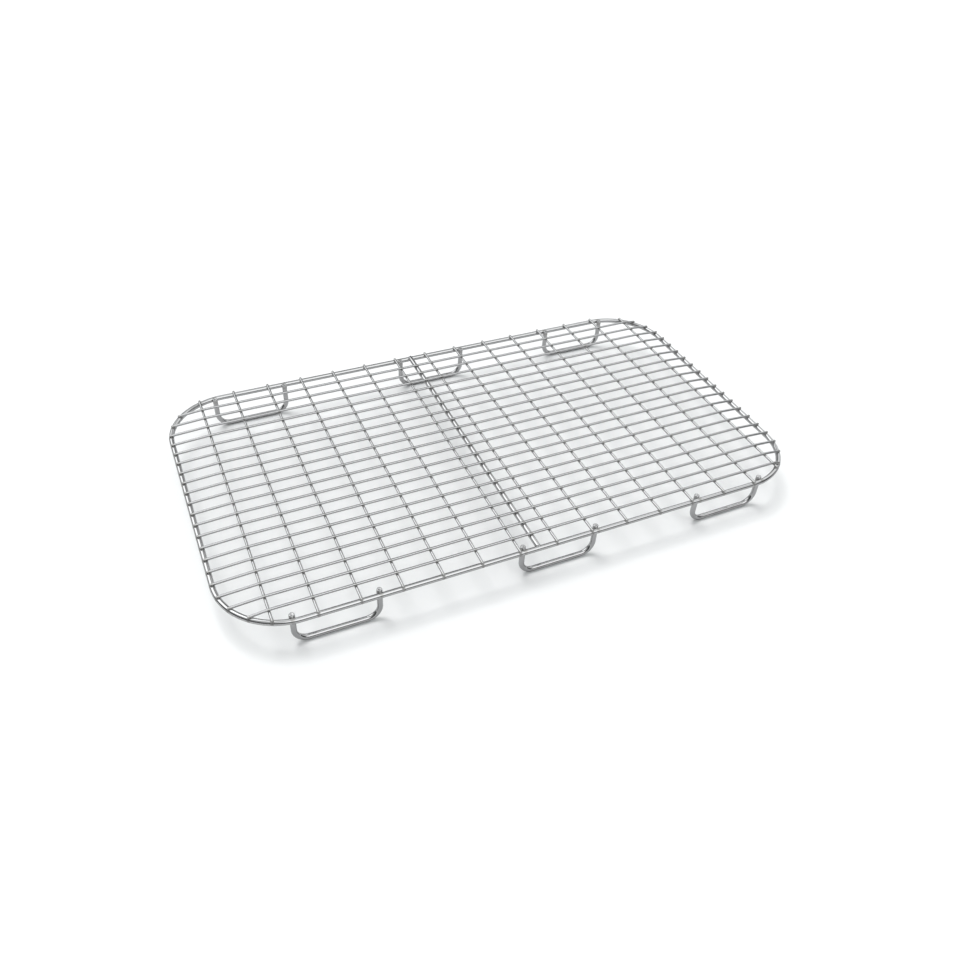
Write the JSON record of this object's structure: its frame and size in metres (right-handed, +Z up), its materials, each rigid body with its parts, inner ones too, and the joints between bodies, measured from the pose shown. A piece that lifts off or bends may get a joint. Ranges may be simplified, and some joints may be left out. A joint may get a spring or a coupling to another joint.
{
  "type": "cooling rack",
  "caption": "Footed rectangular wire cooling rack with a rounded thick-wire rim, a welded deck of thin crossing wires, a centre brace and U-shaped wire feet.",
  "frame": {"origin": "on the floor, under the middle of the rim", "axes": "+X along the long side, +Y from the front side to the back side, +Z up from the feet to the deck"},
  "size_m": [0.457, 0.2616, 0.0307],
  "materials": {
    "rim_wire": "bright polished stainless wire",
    "brace_wire": "bright polished stainless wire",
    "foot_wire": "bright polished stainless wire",
    "cross_wire": "bright drawn stainless wire",
    "long_wire": "bright drawn stainless wire"
  },
  "bodies": {
    "root": {"rim": "rim_wire", "centre_brace": "brace_wire", "cross_wire_01": "cross_wire", "cross_wire_02": "cross_wire", "cross_wire_03": "cross_wire", "cross_wire_04": "cross_wire", "cross_wire_05": "cross_wire", "cross_wire_06": "cross_wire", "cross_wire_07": "cross_wire", "cross_wire_08": "cross_wire", "cross_wire_09": "cross_wire", "cross_wire_10": "cross_wire", "cross_wire_11": "cross_wire", "cross_wire_12": "cross_wire", "cross_wire_13": "cross_wire", "cross_wire_14": "cross_wire", "cross_wire_15": "cross_wire", "long_wire_01": "long_wire", "long_wire_02": "long_wire", "long_wire_03": "long_wire", "long_wire_04": "long_wire", "long_wire_05": "long_wire", "long_wire_06": "long_wire", "long_wire_07": "long_wire", "long_wire_08": "long_wire", "long_wire_09": "long_wire", "long_wire_10": "long_wire", "long_wire_11": "long_wire", "long_wire_12": "long_wire", "long_wire_13": "long_wire", "long_wire_14": "long_wire", "long_wire_15": "long_wire", "long_wire_16": "long_wire", "long_wire_17": "long_wire", "long_wire_18": "long_wire", "long_wire_19": "long_wire", "long_wire_20": "long_wire", "foot_front_left": "foot_wire", "foot_front_centre": "foot_wire", "foot_front_right": "foot_wire", "foot_back_left": "foot_wire", "foot_back_centre": "foot_wire", "foot_back_right": "foot_wire"}
  },
  "joints": []
}
